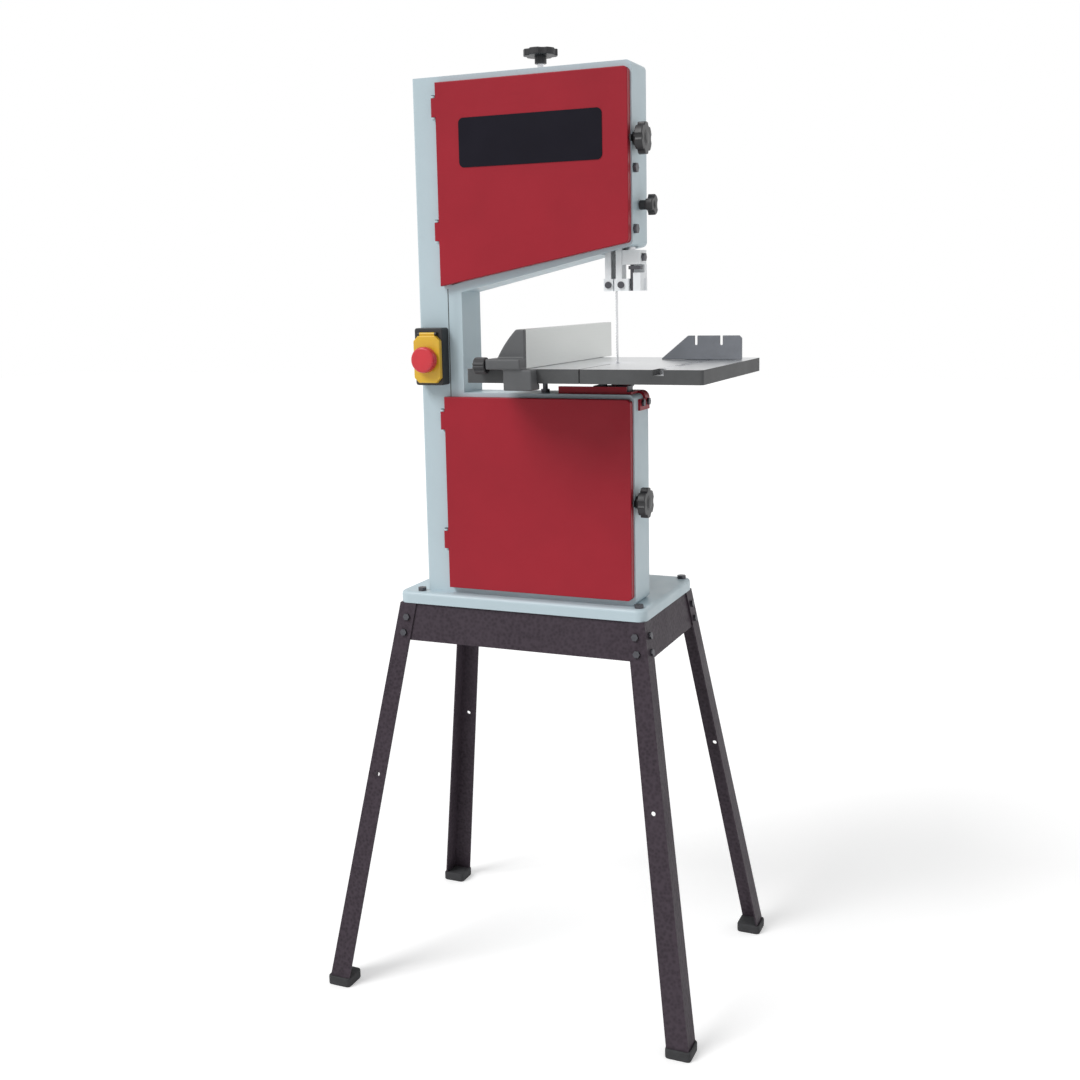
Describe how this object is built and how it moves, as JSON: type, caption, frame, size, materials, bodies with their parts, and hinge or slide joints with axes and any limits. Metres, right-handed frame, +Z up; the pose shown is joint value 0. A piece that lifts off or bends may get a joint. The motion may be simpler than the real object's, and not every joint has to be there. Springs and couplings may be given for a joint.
{
  "type": "band saw",
  "caption": "Vertical two-wheel band saw on a splayed leg stand, with hinged wheel doors, tilting table, rip fence, mitre gauge, sliding blade guide and hinged stop flap.",
  "frame": {"origin": "on the floor, below the middle of the box round the whole saw", "axes": "+Z up, +X to the right along the doors, +Y from the doors towards the motor"},
  "size_m": [0.6436, 0.4814, 1.4885],
  "materials": {
    "stand_paint": "dark hammered enamel",
    "frame_paint": "pale blue-grey enamel",
    "red_paint": "deep red enamel",
    "plate": "plain dark plate",
    "black_plastic": "moulded black",
    "dark_steel": "black oxide",
    "steel": "plain turned steel",
    "blade_steel": "plain blade steel",
    "cast_wheel": "cast, machined rim",
    "rubber": "matte",
    "motor_paint": "dark grey enamel",
    "cast_table": "ground top, dark sides",
    "fence_metal": "satin extrusion",
    "dark_casting": "dark grey casting",
    "white_paint": "near-white",
    "white_plastic": "near-white",
    "yellow_plastic": "moulded yellow",
    "red_plastic": "moulded red",
    "green_plastic": "moulded green",
    "insert": "satin"
  },
  "bodies": {
    "frame": {"leg_front_left": "stand_paint", "leg_front_right": "stand_paint", "leg_back_left": "stand_paint", "leg_back_right": "stand_paint", "long_rails": "stand_paint", "short_rails": "stand_paint", "stand_bolts": "dark_steel", "rubber_feet": "rubber", "base_plate": "frame_paint", "column": "frame_paint", "blade_channel": "frame_paint", "upper_housing": "frame_paint", "lower_housing": "frame_paint", "hinge_pins": "dark_steel", "hex_bolts": "dark_steel", "lower_axle": "steel", "motor": "motor_paint", "cable_gland": "black_plastic", "drive_belt": "rubber", "blade": "blade_steel", "post_bracket": "steel", "lower_guides": "dark_steel", "trunnion_bracket": "red_paint", "switch_box": "black_plastic"},
    "upper_door": {"upper_door": "red_paint", "name_plate": "plate"},
    "lower_door": {"lower_door": "red_paint"},
    "upper_latch": {"upper_latch": "black_plastic"},
    "lower_latch": {"lower_latch": "black_plastic"},
    "tension_screw": {"tension_screw": "steel", "tension_knob": "black_plastic"},
    "tension_slide": {"tension_slide": "steel", "tension_spring": "steel"},
    "upper_axle": {"upper_axle": "steel"},
    "upper_wheel": {"upper_wheel": "cast_wheel", "upper_tyre": "rubber", "upper_bearings": "steel"},
    "lower_wheel": {"lower_wheel": "cast_wheel", "lower_tyre": "rubber", "lower_bearings": "steel"},
    "motor_pulley": {"motor_pulley": "steel"},
    "tracking_screw": {"tracking_knob": "black_plastic"},
    "guide_post": {"guide_post": "steel", "upper_guide_block": "white_paint", "upper_guide_pins": "dark_steel", "blade_guard": "white_plastic"},
    "post_lock": {"post_lock_knob": "black_plastic"},
    "table": {"table": "cast_table", "table_insert": "insert", "table_trunnion": "cast_table"},
    "tilt_lock": {"tilt_lock_knob": "black_plastic"},
    "fence": {"fence_bar": "fence_metal", "fence_carriage": "dark_casting"},
    "fence_lock": {"fence_knob": "black_plastic"},
    "mitre_bar": {"mitre_bar": "steel"},
    "mitre_head": {"mitre_head": "dark_casting"},
    "mitre_lock": {"mitre_knob": "black_plastic"},
    "switch_flap": {"switch_flap": "yellow_plastic"},
    "stop_button": {"stop_button": "red_plastic"},
    "start_button": {"start_button": "green_plastic"}
  },
  "joints": [
    {"name": "upper_door_hinge", "type": "hinge", "parent": "frame", "child": "upper_door", "pos_m": [-0.1368, -0.09745, 1.31], "axis": [0, 0, -1], "range_deg": [0, 110]},
    {"name": "lower_door_hinge", "type": "hinge", "parent": "frame", "child": "lower_door", "pos_m": [-0.1368, -0.09745, 0.81], "axis": [0, 0, -1], "range_deg": [0, 110]},
    {"name": "upper_latch_turn", "type": "hinge", "parent": "frame", "child": "upper_latch", "pos_m": [0.1788, -0.07975, 1.344], "axis": [1, 0, 0], "range_deg": [0, 90]},
    {"name": "lower_latch_turn", "type": "hinge", "parent": "frame", "child": "lower_latch", "pos_m": [0.1788, -0.07975, 0.811], "axis": [1, 0, 0], "range_deg": [0, 90]},
    {"name": "tension_knob_turn", "type": "hinge", "parent": "frame", "child": "tension_screw", "pos_m": [0.0162, -0.03675, 1.4535], "axis": [0, 0, 1], "range_deg": [0, 1800]},
    {"name": "upper_wheel_slide", "type": "slide", "parent": "frame", "child": "tension_slide", "axis": [0, 0, 1], "range_m": [-0.0075, 0]},
    {"name": "tracking_knob_turn", "type": "hinge", "parent": "tension_slide", "child": "tracking_screw", "pos_m": [0.0162, -0.02375, 1.286], "axis": [0, 1, 0], "range_deg": [0, 225]},
    {"name": "wheel_tilt", "type": "hinge", "parent": "tension_slide", "child": "upper_axle", "pos_m": [0.0162, -0.03475, 1.31], "axis": [1, 0, 0], "range_deg": [0, 1.5]},
    {"name": "lower_wheel_spin", "type": "hinge", "parent": "frame", "child": "lower_wheel", "pos_m": [0.0162, -0.05775, 0.81], "axis": [0, 1, 0], "continuous": true},
    {"name": "upper_wheel_spin", "type": "hinge", "parent": "upper_axle", "child": "upper_wheel", "pos_m": [0.0162, -0.05775, 1.31], "axis": [0, 1, 0], "continuous": true},
    {"name": "motor_spin", "type": "hinge", "parent": "frame", "child": "motor_pulley", "pos_m": [0.0462, -0.02375, 0.722], "axis": [0, 1, 0], "continuous": true},
    {"name": "guide_post_slide", "type": "slide", "parent": "frame", "child": "guide_post", "axis": [0, 0, 1], "range_m": [-0.095, 0]},
    {"name": "post_lock_turn", "type": "hinge", "parent": "frame", "child": "post_lock", "pos_m": [0.1788, -0.05575, 1.251], "axis": [1, 0, 0], "range_deg": [0, 180]},
    {"name": "table_tilt", "type": "hinge", "parent": "frame", "child": "table", "pos_m": [0.1418, -0.05775, 1.0191], "axis": [0, 1, 0], "range_deg": [0, 45]},
    {"name": "tilt_lock_turn", "type": "hinge", "parent": "frame", "child": "tilt_lock", "pos_m": [0.1418, -0.02375, 0.9891], "axis": [0, 1, 0], "range_deg": [0, 180]},
    {"name": "fence_slide", "type": "slide", "parent": "table", "child": "fence", "axis": [-1, 0, 0], "range_m": [-0.058, 0.04]},
    {"name": "fence_knob_turn", "type": "hinge", "parent": "fence", "child": "fence_lock", "pos_m": [0.0068, -0.22775, 1.0244], "axis": [1, 0, 0], "range_deg": [0, 180]},
    {"name": "mitre_slide", "type": "slide", "parent": "table", "child": "mitre_bar", "axis": [0, 1, 0], "range_m": [-0.14, 0.02]},
    {"name": "mitre_swivel", "type": "hinge", "parent": "mitre_bar", "child": "mitre_head", "pos_m": [0.2578, 0.04825, 1.0191], "axis": [0, 0, 1], "range_deg": [-45, 45]},
    {"name": "mitre_knob_turn", "type": "hinge", "parent": "mitre_bar", "child": "mitre_lock", "pos_m": [0.2578, 0.04825, 1.0191], "axis": [0, 0, 1], "range_deg": [0, 180]},
    {"name": "flap_hinge", "type": "hinge", "parent": "frame", "child": "switch_flap", "pos_m": [-0.1513, -0.11375, 1.066], "axis": [-1, 0, 0], "range_deg": [0, 100]},
    {"name": "stop_press", "type": "slide", "parent": "switch_flap", "child": "stop_button", "axis": [0, 1, 0], "range_m": [0, 0.004], "stiffness_N_per_m": 400},
    {"name": "start_press", "type": "slide", "parent": "frame", "child": "start_button", "axis": [0, 1, 0], "range_m": [0, 0.003], "stiffness_N_per_m": 400}
  ],
  "couplings": [
    {"joint": "tension_knob_turn", "follows": "upper_wheel_slide", "rad_per_m": -4188.8},
    {"joint": "wheel_tilt", "follows": "tracking_knob_turn", "ratio": 0.0066315},
    {"joint": "upper_wheel_spin", "follows": "lower_wheel_spin", "ratio": 1},
    {"joint": "motor_spin", "follows": "lower_wheel_spin", "ratio": 2.6667}
  ]
}
